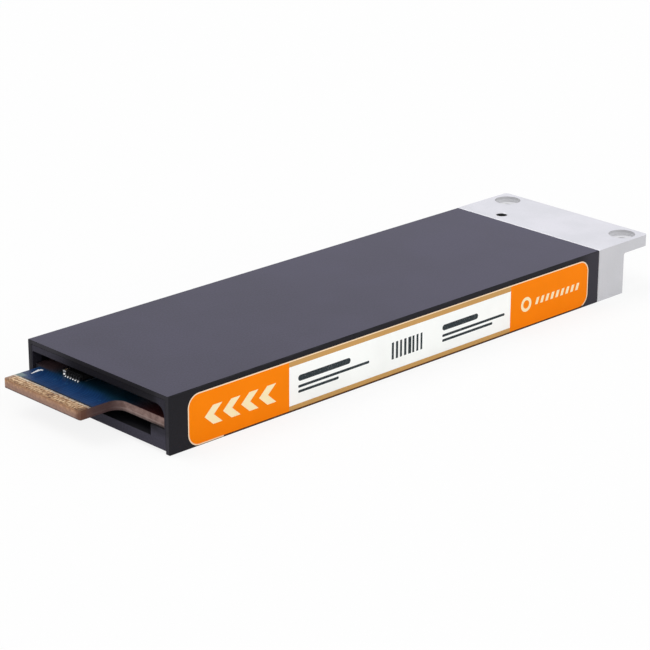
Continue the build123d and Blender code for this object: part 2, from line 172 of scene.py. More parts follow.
class Finish:
    """A material of the module, on places in millimetres."""

    def __init__(self, name):
        self.material = bpy.data.materials.new(name)
        self.material.use_nodes = True
        self.tree = self.material.node_tree
        self.tree.nodes.clear()
        place = self.node("ShaderNodeTexCoord", output="Object")
        self.place = self.vector("SCALE", {"Vector": place, "Scale": 1 / MM})
        self.x, self.y, self.z = self.parts(self.place)

    def node(self, kind, settings=None, inputs=None, output=0):
        """Any node: its settings first, then the values or links of its sockets."""
        made = self.tree.nodes.new(kind)
        for name, setting in (settings or {}).items():
            setattr(made, name, setting)
        for key, value in (inputs or {}).items():
            if isinstance(value, Value):
                self.tree.links.new(value.socket, made.inputs[key])
            else:
                made.inputs[key].default_value = value
        return Value(self, made.outputs[output])

    def vector(self, operation, inputs, output="Vector"):
        return self.node("ShaderNodeVectorMath", {"operation": operation}, inputs, output)

    def parts(self, vector):
        """The three numbers of a vector."""
        first = self.node("ShaderNodeSeparateXYZ", {}, {"Vector": vector})
        outputs = first.socket.node.outputs
        return [Value(self, outputs[axis]) for axis in range(3)]

    def facing(self):
        """How far the surface faces along X, Y and Z, without its sign."""
        normal = self.node("ShaderNodeTexCoord", output="Normal")
        return [abs(part) for part in self.parts(normal)]

    def in_box(self):
        """Places from 0 to 1 over the box of the node."""
        return self.node("ShaderNodeTexCoord", output="Generated")

    def noise(self, size, detail=2.0, stretch=(1, 1, 1)):
        """Soft noise with features of a size in millimetres, longer along a stretched axis."""
        spread = self.vector("DIVIDE", {0: self.place, 1: stretch})
        return self.node(
            "ShaderNodeTexNoise", {}, {"Vector": spread, "Scale": 1 / size, "Detail": detail}
        )

    def cells(self, size, randomness=1.0):
        """Distance from the middle of the nearest cell, with cells of a size in millimetres."""
        return self.node(
            "ShaderNodeTexVoronoi",
            {},
            {"Vector": self.place, "Scale": 1 / size, "Randomness": randomness},
            "Distance",
        )

    def chance(self, whole, seed):
        """A random number for each whole number."""
        return self.node(
            "ShaderNodeTexWhiteNoise", {"noise_dimensions": "1D"}, {"W": whole + seed}, "Value"
        )

    def mix(self, mask, under, over):
        """One colour over another where the mask is 1."""
        return self.node("ShaderNodeMix", {"data_type": "RGBA"}, {0: mask, 6: under, 7: over}, 2)

    def around(self, share, tone, spread):
        """A colour that wavers around a tone, by a spread to each side."""
        low = (*(channel * (1 - spread) for channel in tone), 1)
        high = (*(channel * (1 + spread) for channel in tone), 1)
        return self.mix(share, low, high)

    def flat_distance(self, x, y):
        """Distance in plan from an upright line."""
        plan = self.vector("MULTIPLY", {0: self.place, 1: (1, 1, 0)})
        return self.vector("DISTANCE", {0: plan, 1: (x, y, 0)}, "Value")

    def surface(self, inputs, height=None, depth=0.0):
        """Close the finish. A height from 0 to 1 becomes a bump of a depth in millimetres."""
        if height is not None:
            bump = self.node("ShaderNodeBump", {}, {"Height": height, "Distance": depth * MM})
            inputs = {**inputs, "Normal": bump}
        shader = self.node("ShaderNodeBsdfPrincipled", {}, inputs)
        output = self.tree.nodes.new("ShaderNodeOutputMaterial")
        self.tree.links.new(shader.socket, output.inputs["Surface"])
        return self.material


def grey(level):
    return (level, level, level, 1)


def chamfers(facing_x, facing_y, facing_z):
    """1 where a surface faces between the axes, as chamfers and fillets do."""
    return (facing_x * facing_y + facing_y * facing_z + facing_z * facing_x).ranged(0.25, 0.45)


# The case's front: its depth, and where painted light makes it paler, in Z below the window and in
# Y at its ends
FRONT_DEPTH = 0.6
DARK_DYE = (0.0055, 0.005, 0.008)
LOW_FRONT = (2.2, 4.2)
FAR_FRONT = (4.5, 11.5)
FAR_POST = (15.4, 16.2)
NEAR_FRONT = (-15.0, -13.0)

# The label's side behind the label, which is paler too, and where this starts from the label's end
REAR_SIDE = (0.034, 0.031, 0.043, 1)
REAR_START = (-3, 1)


def anodised(name, sides, top, front, gloss, roughness):
    """Dyed anodising: blasted top with a painted sheen that gives the flat faces a tone of their
    own, darker sides, and painted light that pales the front below and at its ends and grows
    towards the bracket.
    """
    f = Finish(name)
    facing_x, facing_y, facing_z = f.facing()
    chamfer = chamfers(facing_x, facing_y, facing_z)
    flat = facing_z > 0.9
    clouds = f.noise(14, 3)
    grain = f.noise(0.28, 3)
    pits = f.cells(0.5)
    uneven = clouds.ranged(0.3, 0.7) * 0.35 + grain.ranged(0.35, 0.65) * 0.65
    # Painted light: the front is paler below the window and towards its ends.
    on_front = (facing_x > 0.9) * (f.x < cover_low.x + FRONT_DEPTH)
    far_painted_light = f.y.ranged(*FAR_FRONT, 0.0, 0.85) * f.y.ranged(*FAR_POST, 1.0, 0.4)
    pale = f.z.ranged(*LOW_FRONT, 1.0, 0.0) | far_painted_light
    pale = pale | f.y.ranged(*NEAR_FRONT, 0.45, 0.0)
    # Painted light: the colour grows paler from the front towards the bracket.
    painted_light_towards_bracket = uneven * 0.8 + f.x.ranged(cover_low.x, cover_high.x, -0.08, 0.24)
    rear_side = facing_y * (f.y < 0) * (f.x - label_high.x).ranged(*REAR_START)
    colour = f.mix(rear_side * 0.8, f.around(uneven, sides, 0.3), REAR_SIDE)
    front_colour = f.mix(pale, f.around(uneven, DARK_DYE, 0.3), f.around(uneven, front, 0.2))
    colour = f.mix(on_front, colour, front_colour)
    # Painted sheen: the flat faces take a tone of their own, paler on the cover.
    colour = f.mix(flat, colour, f.around(painted_light_towards_bracket, top, 0.25))
    rubbed = chamfer * f.noise(2.5, 4).ranged(0.4, 0.7)
    colour = f.mix(rubbed * 0.2, colour, (0.06, 0.06, 0.07, 1))
    rough = roughness + grain * 0.14 + clouds * 0.05 - rubbed * 0.06
    return f.surface(
        {"Base Color": colour, "Roughness": rough, "Specular IOR Level": gloss},
        grain + pits * 0.4,
        0.012,
    )


def bead_blasted_aluminium():
    """Clear anodised aluminium: blasted faces, paler edges, upright faces in painted shade, turned
    seats with painted light and shade, and a lamp bore painted dark as shade.
    """
    f = Finish("bead_blasted_aluminium")
    facing = f.facing()
    chamfer = chamfers(*facing)
    upright = 1 - facing[2]
    clouds = f.noise(6, 3)
    grain = f.noise(0.22, 3)
    colour = f.mix(clouds.ranged(0.3, 0.7), (0.66, 0.66, 0.71, 1), (0.71, 0.705, 0.76, 1))
    colour = f.mix(grain.ranged(0.56, 0.72) * 0.35, colour, (0.54, 0.54, 0.58, 1))
    strokes = f.noise(0.35, 2, (1, 1, 30)).ranged(0.45, 0.75) * upright
    # Painted shade: upright faces are darker than the top.
    colour = f.mix(upright * 0.62, colour, (0.5, 0.5, 0.51, 1))

    within = f.z.between(bracket_high.z - BORE_DEPTH, bracket_high.z - BORE_START)
    hole_x, hole_y = bracket_high.x - LATCH_HOLE_END, bracket_high.y - LATCH_HOLE_SIDE
    seat = 0.0
    for y in (-hole_y, hole_y):
        seat = (f.flat_distance(hole_x, y) < LATCH_SEAT_RADIUS) * within | seat
    rim = f.z > bracket_high.z - SEAT_RIM
    # Painted light and shade in the latch seats: paler throughout to offset the shade of the
    # recess, with painted shade on their walls, darkest at the rim.
    colour = f.mix(seat * 0.85, colour, (0.8, 0.8, 0.82, 1))
    colour = f.mix(seat * upright * (rim * 0.3 + 0.3), colour, (0.36, 0.36, 0.37, 1))
    # Painted shade: the lamp bore's walls are painted near black.
    from_led = f.flat_distance((led_low.x + led_high.x) / 2, (led_low.y + led_high.y) / 2)
    bore = (from_led < LED_BORE_RADIUS) * within
    colour = f.mix(bore, colour, (0.025, 0.025, 0.028, 1))
    rough = 0.44 + grain * 0.16 + clouds * 0.05 + strokes * 0.05 - chamfer * 0.06 + bore * 0.3
    metal = 0.45 * (1 - bore) * (1 - seat * 0.7)
    return f.surface(
        {"Base Color": colour, "Roughness": rough, "Metallic": metal}, grain + strokes * 0.3, 0.014
    )


def plated_steel():
    """Dark plated screws, bright where a driver has rubbed them."""
    f = Finish("plated_steel")
    grain = f.noise(0.15, 3)
    rubbed = f.noise(0.5, 3).ranged(0.55, 0.7)
    colour = f.mix(rubbed, (0.16, 0.16, 0.17, 1), (0.42, 0.42, 0.43, 1))
    return f.surface(
        {"Base Color": colour, "Roughness": 0.3 + grain * 0.2, "Metallic": 0.95}, grain, 0.008
    )


# The board: its copper layers, traces, plated holes and mask, from the fingers inwards
LAYER = 0.196
TRACE_PITCH = 0.6
TRACE_MIDDLE = 0.33
TRACE_HALF_WIDTH = 0.17
TRACE_FAN = (2.2, 7.0, 0.0, 4.0)
TRACE_END = 9
TRACE_DROPPED = 0.22
HOLE_PITCH = 1.9
HOLES_START = 1.2
MASK_GAP = 0.05
MASK_RIM = 0.4

# The card edge's tip: its browned depth, the pale end of the fingers, and the stretch in X over
# which the near stain wears off
BROWNED_DEPTH = 1.1
PALE_END = 0.42
WORN_FRONT = (0.4, 1.6)

# How far the painted shade on the board's far corner reaches in Y
DARK_CORNER = 2.0

# The stretches in Y over which the two ends of the card edge are browned, and a painted sheen lies
# on the mask's far corner, this one from the last finger's far side
NEAR_STAIN = (-4.3, -3.1)
FAR_STAIN = (12.9, 13.7)
CORNER_SHEEN = (-1.75, -0.65)

# The mask inside the case: the stretches in Y over which its painted shade starts farther out, and
# over which it turns reddish and takes a painted brown reflection, and those in X from the case's
# front
EARLY_SHADE = (-4.8, -0.8)
RED_TINT = (-12.0, -5.5)
BROWN_REFLECTION = (9.0, 13.0)
SHADE_START = (-1.4, 1.2)
REFLECTION_START = (-0.3, 0.5)
REFLECTION_REACH = 2.5

# The legend: its line's width, its distance from the load switch in X and Y, and its gap
LEGEND_LINE = 0.13
LEGEND_GAP = 1.2
LEGEND_CLEARANCE = (0.35, 0.3)

# Ends and bend of the corner glint, a painted highlight drawn as a stroke, from the card edge's tip
# and the last finger's far side, each with the stroke's width there
CORNER_GLINT = ((4.25, -1.13, 0.15), (6.2, -0.78, 0.6), (6.45, -1.3, 0.3))


def gold_plating():
    """Gold contact plating, wiped along the way it is plugged in, paler where the mask begins."""
    f = Finish("gold_plating")
    wiped = f.noise(0.05, 2, (30, 1, 1))
    stains = f.noise(0.5, 4)
    colour = f.mix(stains.ranged(0.42, 0.62), (0.74, 0.535, 0.335, 1), (0.34, 0.185, 0.09, 1))
    worn_front = (f.x - finger_low.x).ranged(*WORN_FRONT, 1.0, 0.25)
    near_stain = f.y.ranged(*NEAR_STAIN, 0.9, 0.0) * worn_front
    colour = f.mix(near_stain, colour, (0.15, 0.072, 0.04, 1))
    colour = f.mix(f.y.ranged(*FAR_STAIN, 0.0, 0.75), colour, (0.33, 0.21, 0.16, 1))
    pale = (f.x > finger_high.x - PALE_END) * f.noise(0.6, 3).ranged(0.38, 0.58, 0.2, 0.8)
    colour = f.mix(pale, colour, (0.66, 0.61, 0.53, 1))
    rough = 0.32 + wiped * 0.2 + stains * 0.12
    return f.surface({"Base Color": colour, "Roughness": rough, "Metallic": 0.75}, wiped, 0.004)


def straight_stroke(f, start, end, from_width, to_width):
    """A stroke between two places of the plan, with a width for each, drawn as a painted highlight.
    """
    along_x, along_y = end[0] - start[0], end[1] - start[1]
    length = math.hypot(along_x, along_y)
    along_x, along_y = along_x / length, along_y / length
    from_x, from_y = f.x - start[0], f.y - start[1]
    along = from_x * along_x + from_y * along_y
    across = abs(from_y * along_x - from_x * along_y)
    half_width = from_width / 2 + along * ((to_width - from_width) / 2 / length)
    return along.between(0, length) * (across < half_width)


def cut_edge(f):
    """Glass cloth and resin seen from the side, with the copper layers as fine lines."""
    facing_x, facing_y, _ = f.facing()
    level = (f.z - board_low.z) / (board_high.z - board_low.z)
    ragged = f.noise(0.18, 3, (6, 6, 1))
    layers = (f.z / LAYER).fraction()
    copper = (layers + ragged * 0.3).between(0.42, 0.56)
    blotches = f.noise(0.9, 4).ranged(0.3, 0.7)
    edge = f.mix(blotches, (0.175, 0.108, 0.093, 1), (0.28, 0.188, 0.168, 1))
    edge = f.mix(ragged.ranged(0.5, 0.75) * 0.6, edge, (0.13, 0.08, 0.07, 1))
    edge = f.mix(copper * 0.35, edge, (0.36, 0.25, 0.21, 1))
    edge = f.mix((level + ragged * 0.1).between(0.3, 0.4) * 0.7, edge, (0.3, 0.235, 0.22, 1))

    # The tip is browned by plating, most of all at its upper rim and its near end
    tip = (facing_x | facing_y) * (f.x < finger_low.x + BROWNED_DEPTH)
    brown = f.mix(level.ranged(0.2, 1.0), (0.315, 0.19, 0.152, 1), (0.44, 0.24, 0.14, 1))
    brown = f.mix(f.noise(0.6, 4).ranged(0.45, 0.6) * 0.5, brown, (0.25, 0.14, 0.095, 1))
    golden = f.noise(0.35, 4).ranged(0.47, 0.6) * level.ranged(0.4, 0.9, 0.15, 0.9)
    brown = f.mix(golden, brown, (0.6, 0.37, 0.21, 1))
    edge = f.mix(tip * 0.88, edge, brown)
    edge = f.mix(tip * (level + ragged * 0.2 > 0.95) * 0.6, edge, (0.3, 0.15, 0.07, 1))
    stain = f.y.ranged(*NEAR_STAIN, 0.92, 0.0) * level.ranged(0.5, 0.95, 1.0, 0.6)
    edge = f.mix(tip * stain, edge, (0.125, 0.052, 0.032, 1))
    # Painted shade: the lowest part of the cut edge is darker, where the lower bevel faces down.
    edge = f.mix((level + ragged * 0.1 < 0.21) * 0.7, edge, (0.1, 0.078, 0.078, 1))
    # Painted shade: the board's inward end face at the far corner is near black.
    inner_end = facing_x * (f.y > board_high.y - DARK_CORNER) * (f.x > finger_high.x)
    edge = f.mix(inner_end, edge, (0.012, 0.013, 0.018, 1))
    # Painted shade: the board's near side face is darker, least towards the tip.
    near_side = facing_y * (f.y < finger_low.y)
    towards_tip = f.x.ranged(finger_low.x, finger_high.x + 1, 1.0, 0.0)
    dark = f.mix(towards_tip, (0.05, 0.024, 0.025, 1), (0.105, 0.045, 0.028, 1))
    edge = f.mix(near_side * 0.88, edge, dark)
    return edge, ragged


def board_laminate():
    """The circuit board: blue mask with copper under it, bare laminate at the fingers and sides."""
    f = Finish("board_laminate")
    flat = f.facing()[2] > 0.8
    mask_start = finger_high.x + MASK_GAP
    masked = flat * (f.x > mask_start)
    bare_strip = flat * (f.x < mask_start)
    edge, ragged = cut_edge(f)

    # Bare laminate between the contact fingers, browned by the plating bath
    stains = f.noise(0.45, 4).ranged(0.42, 0.64)
    amber = f.mix(stains, (0.42, 0.26, 0.15, 1), (0.13, 0.065, 0.038, 1))
    amber = f.mix(f.y.ranged(*NEAR_STAIN, 0.7, 0.0), amber, (0.105, 0.05, 0.03, 1))
    amber = f.mix(f.y.ranged(*FAR_STAIN, 0.0, 0.9), amber, (0.33, 0.21, 0.16, 1))
    pale = (f.x > finger_high.x - PALE_END) * f.noise(0.6, 3).ranged(0.38, 0.58, 0.3, 0.85)
    amber = f.mix(pale, amber, (0.42, 0.39, 0.35, 1))

    # Copper traces and planes under the mask
    lane = (f.y - finger_low.y) / TRACE_PITCH - (f.x - mask_start).ranged(*TRACE_FAN)
    trace = abs(lane.fraction() - TRACE_MIDDLE) < TRACE_HALF_WIDTH
    kept = f.chance(lane.whole(), 3.0) > TRACE_DROPPED
    far_in = f.x > mask_start + TRACE_END
    plane = f.noise(9, 1).ranged(0.5, 0.51)
    copper_below = (trace * kept * (1 - far_in)) | (plane * far_in)
    blue = f.mix(f.noise(3, 2).ranged(0.3, 0.7), (0.003, 0.022, 0.085, 1), (0.005, 0.034, 0.12, 1))
    blue = f.mix(copper_below * 0.5, blue, (0.009, 0.058, 0.17, 1))
    holes = f.cells(HOLE_PITCH)
    inward = f.x > mask_start + HOLES_START
    blue = f.mix(holes.between(0.05, 0.13) * inward * 0.6, blue, (0.02, 0.1, 0.22, 1))
    blue = f.mix((holes < 0.05) * inward, blue, (0.004, 0.012, 0.03, 1))
    blue = f.mix(f.x < mask_start + MASK_RIM, blue, (0.003, 0.012, 0.03, 1))
    # Painted sheen: a pale patch on the mask's far corner.
    corner = (f.y - finger_high.y).ranged(*CORNER_SHEEN) * (1 - inward)
    blue = f.mix(corner * 0.75, blue, (0.17, 0.24, 0.235, 1))

    # Inside the case the mask is painted in shade, with a painted brown reflection at its far end
    # and reddish at its near one
    depth = f.x - cover_low.x
    shade = (depth + f.y.ranged(*EARLY_SHADE, 0.9, 0.0)).ranged(*SHADE_START)
    blue = f.mix(shade * 0.96, blue, (0.004, 0.024, 0.042, 1))
    # Painted reflection: brownish towards the far end inside the case.
    brown_reflection = f.y.ranged(*BROWN_REFLECTION) * depth.ranged(*REFLECTION_START)
    brownish = f.mix(depth.ranged(0, REFLECTION_REACH), (0.045, 0.03, 0.033, 1), (0.12, 0.07, 0.075, 1))
    blue = f.mix(brown_reflection * 0.9, blue, brownish)
    # Reddish towards the near side inside the case.
    red = f.y.ranged(*RED_TINT, 1.0, 0.0) * (depth > 0)
    blue = f.mix(red, blue, (0.045, 0.012, 0.012, 1))

    # White legend, the outline of the load switch, and a painted highlight drawn as a bent stroke
    # at the corner
    plan_x = abs(f.x - (switch_low.x + switch_high.x) / 2)
    plan_y = abs(f.y - (switch_low.y + switch_high.y) / 2)
    half_x = (switch_high.x - switch_low.x) / 2 + LEGEND_CLEARANCE[0]
    half_y = (switch_high.y - switch_low.y) / 2 + LEGEND_CLEARANCE[1]
    inside = (plan_x < half_x) * (plan_y < half_y)
    within = (plan_x < half_x - LEGEND_LINE) * (plan_y < half_y - LEGEND_LINE)
    legend_and_glint = inside * (1 - within) * (plan_x < half_x - LEGEND_GAP) * 0.3
    marks = [((board_low.x + x, finger_high.y + y), width) for x, y, width in CORNER_GLINT]
    for (start, from_width), (end, to_width) in zip(marks, marks[1:]):
        legend_and_glint = legend_and_glint | straight_stroke(f, start, end, from_width, to_width)
    legend_and_glint = legend_and_glint * masked

    colour = f.mix(flat, edge, (0.3, 0.22, 0.14, 1))
    colour = f.mix(bare_strip, colour, amber)
    colour = f.mix(masked, colour, blue)
    colour = f.mix(legend_and_glint * 0.95, colour, (0.86, 0.88, 0.9, 1))
    rough = 0.72 - masked * 0.4 + legend_and_glint * 0.3 + ragged * 0.08
    height = masked * 0.5 + copper_below * masked * 0.3 + legend_and_glint * 0.3 + ragged * (1 - masked) * 0.6
    return f.surface(
        {"Base Color": colour, "Roughness": rough, "Specular IOR Level": 0.2}, height, 0.03
    )


# The dimple of a chip's first pin, in shares of its box
DIMPLE_PLACE = (0.12, 0.12, 1)
DIMPLE_RADIUS = 0.05

SUBSTRATE_HEIGHT = 0.3
LID_HEIGHT = 0.3

# Shares of their length that the tinned ends and the stripe of capacitors and lamp take up
CAPACITOR_END = 0.178
CAPACITOR_STRIPE = (0.2, 0.32)
LAMP_END = 0.2
CERAMIC_END = 0.2

WEAVE_PITCH = 0.8


def mould_compound(name, substrate):
    """Matt black mould compound with a first-pin dimple, over a thin board of its own if any."""
    f = Finish(name)
    grain = f.noise(0.12, 3)
    specks = f.cells(0.16)
    colour = f.mix(grain.ranged(0.35, 0.7), (0.018, 0.018, 0.02, 1), (0.04, 0.04, 0.043, 1))
    place = f.in_box()
    from_dimple = f.vector("DISTANCE", {0: place, 1: DIMPLE_PLACE}, "Value")
    dimple = (from_dimple < DIMPLE_RADIUS) * (f.parts(place)[2] > 0.9)
    colour = f.mix(dimple, colour, (0.07, 0.07, 0.073, 1))
    low_part = 0.0
    if substrate:
        low_part = f.z.between(board_low.z - SUBSTRATE_HEIGHT, board_high.z + SUBSTRATE_HEIGHT)
        colour = f.mix(low_part, colour, (0.02, 0.07, 0.04, 1))
    rough = 0.62 + grain * 0.15 - low_part * 0.25 + dimple * 0.1
    height = grain + specks * 0.3 - dimple
    return f.surface({"Base Color": colour, "Roughness": rough}, height, 0.01)


def leaded_switch():
    """The load switch: black body and bent leads painted dark as shade, with bright tinned toes."""
    f = Finish("leaded_switch")
    from_middle = abs(f.x - (switch_low.x + switch_high.x) / 2)
    reach = (switch_high.x - switch_low.x) / 2
    # Painted shade: the leads are near black except at their tinned toes.
    leads = from_middle > reach - LEAD_REACH
    toes = from_middle > reach - LEAD_TOE
    grain = f.noise(0.12, 3)
    colour = f.mix(leads, (0.004, 0.004, 0.005, 1), (0.02, 0.02, 0.022, 1))
    colour = f.mix(toes, colour, (0.86, 0.87, 0.88, 1))
    colour = f.mix(grain.ranged(0.4, 0.7) * 0.2, colour, (0.03, 0.03, 0.03, 1))
    inputs = {
        "Base Color": colour,
        "Roughness": 0.66 - toes * 0.25 + grain * 0.1,
        "Metallic": toes * 0.6,
        "Specular IOR Level": 0.15,
    }
    return f.surface(inputs, grain, 0.008)


def crystal_case():
    """Ceramic tray under a plated lid with a dull welded rim."""
    f = Finish("crystal_case")
    lid = f.z > box_of("clock_crystal")[1].z - LID_HEIGHT
    grain = f.noise(0.3, 3)
    colour = f.mix(lid, (0.2, 0.17, 0.14, 1), (0.74, 0.71, 0.64, 1))
    return f.surface(
        {"Base Color": colour, "Roughness": 0.4 + grain * 0.2, "Metallic": lid * 0.9}, grain, 0.006
    )


def moulded_capacitor():
    """Amber moulded body with tinned ends and a darker stripe at the positive end."""
    f = Finish("moulded_capacitor")
    along = f.parts(f.in_box())[0]
    ends = 1 - along.between(CAPACITOR_END, 1 - CAPACITOR_END)
    stripe = along.between(*CAPACITOR_STRIPE)
    grain = f.noise(0.35, 4)
    colour = f.mix(grain.ranged(0.35, 0.65), (0.4, 0.19, 0.03, 1), (0.55, 0.29, 0.06, 1))
    colour = f.mix(stripe, colour, (0.2, 0.075, 0.015, 1))
    colour = f.mix(ends, colour, (0.72, 0.71, 0.69, 1))
    rough = 0.5 + grain * 0.15 - ends * 0.15
    return f.surface(
        {"Base Color": colour, "Roughness": rough, "Metallic": ends * 0.85}, grain, 0.01
    )


def pressed_powder():
    """The inductors: grey pressed iron powder with scattered bright grains."""
    f = Finish("pressed_powder")
    grain = f.noise(0.14, 4)
    flecks = f.cells(0.22).ranged(0.1, 0.2, 1.0, 0.0)
    colour = f.mix(grain.ranged(0.35, 0.7), (0.09, 0.09, 0.095, 1), (0.2, 0.2, 0.21, 1))
    colour = f.mix(flecks * 0.5, colour, (0.36, 0.35, 0.34, 1))
    height = grain + flecks * 0.3
    return f.surface({"Base Color": colour, "Roughness": 0.6 + grain * 0.2}, height, 0.03)


def fired_ceramic():
    """Fired ceramic of the small capacitors."""
    f = Finish("fired_ceramic")
    grain = f.noise(0.1, 3)
    patches = f.noise(0.7, 2)
    colour = f.mix(patches.ranged(0.3, 0.7), (0.42, 0.3, 0.18, 1), (0.55, 0.42, 0.28, 1))
    return f.surface({"Base Color": colour, "Roughness": 0.42 + grain * 0.2}, grain, 0.005)


def soldered_tin():
    """Bright solder and tinned ends, slightly wavy."""
    f = Finish("soldered_tin")
    ripples = f.noise(0.25, 3)
    colour = f.mix(ripples.ranged(0.35, 0.7), (0.88, 0.88, 0.87, 1), (0.66, 0.66, 0.67, 1))
    return f.surface(
        {"Base Color": colour, "Roughness": 0.2 + ripples * 0.2, "Metallic": 0.9}, ripples, 0.01
    )


def lamp_lens():
    """The status lamp: clear yellowish lens between gold ends."""
    f = Finish("lamp_lens")
    along = f.parts(f.in_box())[0]
    ends = 1 - along.between(LAMP_END, 1 - LAMP_END)
    haze = f.noise(0.3, 2)
    colour = f.mix(haze.ranged(0.3, 0.7), (0.78, 0.78, 0.62, 1), (0.88, 0.87, 0.76, 1))
    colour = f.mix(ends, colour, (0.8, 0.58, 0.25, 1))
    return f.surface(
        {"Base Color": colour, "Roughness": 0.2 + haze * 0.15, "Metallic": ends * 0.8}, haze, 0.005
    )


def filled_silicone():
    """The thermal pads: soft filled silicone with a faint weave from its liner."""
    f = Finish("filled_silicone")
    weave = abs((f.x / WEAVE_PITCH).fraction() - 0.5) + abs((f.y / WEAVE_PITCH).fraction() - 0.5)
    grain = f.noise(0.4, 4)
    colour = f.mix(grain.ranged(0.3, 0.7), (0.36, 0.33, 0.42, 1), (0.46, 0.43, 0.52, 1))
    height = grain + weave * 0.5
    return f.surface({"Base Color": colour, "Roughness": 0.8 + grain * 0.1}, height, 0.03)


# Print of the label, as simple shapes over the plain fields

# A block of print, from its middle in Z: its bold bar, and top, height and pitch of the others
BOLD_BAR = (0.45, 1.45)
THIN_BAR_TOP = -0.2
THIN_BAR_HEIGHT = 0.45
THIN_BAR_PITCH = 0.85

# The stripe code: its stripes, their least width and what chance adds, in shares of the pitch
STRIPES = 8
STRIPE_WIDTH = 0.38
STRIPE_CHANCE = 0.45
CODE_WIDTH = 7.6
CODE_HALF_HEIGHT = 1.45

# Places on the panel, from its front end: the code, and blocks of print with their bars' lengths
CODE_PLACE = 22.6
PANEL_BLOCKS = ((1.9, (11.4, 15.6, 8.8)), (34.4, (8.6, 15.2, 12.2)))

# Repeated marks of the end fields: place of the first from the label's end or the ring, pitch,
# count, half height and lean
CHEVRONS = (3.3, 3.7, 4, 1.55, 1.1)
TICKS = (2.5, 1.3, 9, 0.6, 0.35)
RING_PLACE = 4.0
RING_RADII = (0.75, 1.3)

# The painted contact shadow along the lower border: its height, and where it starts from the
# label's front end
SHADOW_BORDER = 0.3
SHADOW_BORDER_START = 7.1

SHADOW_BROWN = (0.1, 0.038, 0.012, 1)
CREAM = (0.92, 0.8, 0.5, 1)
INK = (0.03, 0.04, 0.045, 1)


def rounded_bar(f, x_low, x_high, z_low, z_high):
    """A bar with round ends."""
    radius = (z_high - z_low) / 2
    inner = (x_high - x_low) / 2 - radius
    over_x = (abs(f.x - (x_low + x_high) / 2) - inner) | 0.0
    over_z = f.z - (z_low + z_high) / 2
    return (over_x * over_x + over_z * over_z) < radius * radius


def text_lines(f, x_low, middle_z, lengths):
    """A bold bar over thinner ones of uneven length."""
    z_low, z_high = (middle_z + level for level in BOLD_BAR)
    marks = rounded_bar(f, x_low, x_low + lengths[0], z_low, z_high)
    for row, length in enumerate(lengths[1:]):
        z_high = middle_z + THIN_BAR_TOP - row * THIN_BAR_PITCH
        marks = marks | rounded_bar(f, x_low, x_low + length, z_high - THIN_BAR_HEIGHT, z_high)
    return marks


def stripe_code(f, x_low, middle_z):
    """Upright stripes of uneven width, which carry no number."""
    place = (f.x - x_low) / (CODE_WIDTH / STRIPES)
    width = f.chance(place.whole(), 21.0) * STRIPE_CHANCE + STRIPE_WIDTH
    within = place.between(0, STRIPES) * (abs(f.z - middle_z) < CODE_HALF_HEIGHT)
    return (place.fraction() < width) * within


def repeated(place, first, pitch, count):
    """Marks as wide as the gaps between them, along a place that may lean."""
    marks = ((place - first) / pitch).fraction() < 0.5
    return marks * place.between(first, first + (count - 0.5) * pitch)


def film(name, tone, ink=None, print_mask=None):
    """Satin label film in one colour, with its print if any."""
    f = Finish(name)
    fibres = f.noise(0.3, 4)
    clouds = f.noise(5, 3)
    darker = (*(channel * 0.94 for channel in tone), 1)
    colour = f.mix(clouds.ranged(0.3, 0.7) * 0.6 + fibres * 0.4, darker, (*tone, 1))
    printed = 0.0
    if print_mask is not None:
        printed = print_mask(f)
        patchy = f.noise(0.2, 3).ranged(0.2, 0.45, 0.82, 1.0)
        colour = f.mix(printed * patchy, colour, ink)
    rough = 0.38 + fibres * 0.14 + printed * 0.06
    return f.surface(
        {"Base Color": colour, "Roughness": rough, "Specular IOR Level": 0.04},
        fibres + printed * 0.5,
        0.006,
    )


def end_field_print(f):
    """Chevrons towards the card edge in front, a ring and slanted ticks behind."""
    above = f.z - ((label_low.z + label_high.z) / 2 - 0.1)
    off_middle = abs(above)
    first, pitch, count, half_height, lean = CHEVRONS
    pointed = f.x - off_middle * lean
    chevrons = repeated(pointed, label_low.x + first, pitch, count) * (off_middle < half_height)

    ring_x = panel_high.x + RING_PLACE
    across = f.x - ring_x
    ring_mark = (across * across + above * above).between(*(radius**2 for radius in RING_RADII))
    first, pitch, count, half_height, lean = TICKS
    leaning = f.x - above * lean
    ticks = repeated(leaning, ring_x + first, pitch, count) * (off_middle < half_height)
    return chevrons | ring_mark | ticks


def panel_print(f):
    """Bars of print on both sides of a stripe code."""
    middle_z = (panel_low.z + panel_high.z) / 2
    marks = stripe_code(f, panel_low.x + CODE_PLACE, middle_z)
    for place, lengths in PANEL_BLOCKS:
        marks = marks | text_lines(f, panel_low.x + place, middle_z, lengths)
    return marks


def shadowed_lower_border(f):
    """The label's lower edge, painted darker behind the front corner as a painted contact shadow.
    """
    return (f.z < label_low.z + SHADOW_BORDER) * (f.x > label_low.x + SHADOW_BORDER_START)


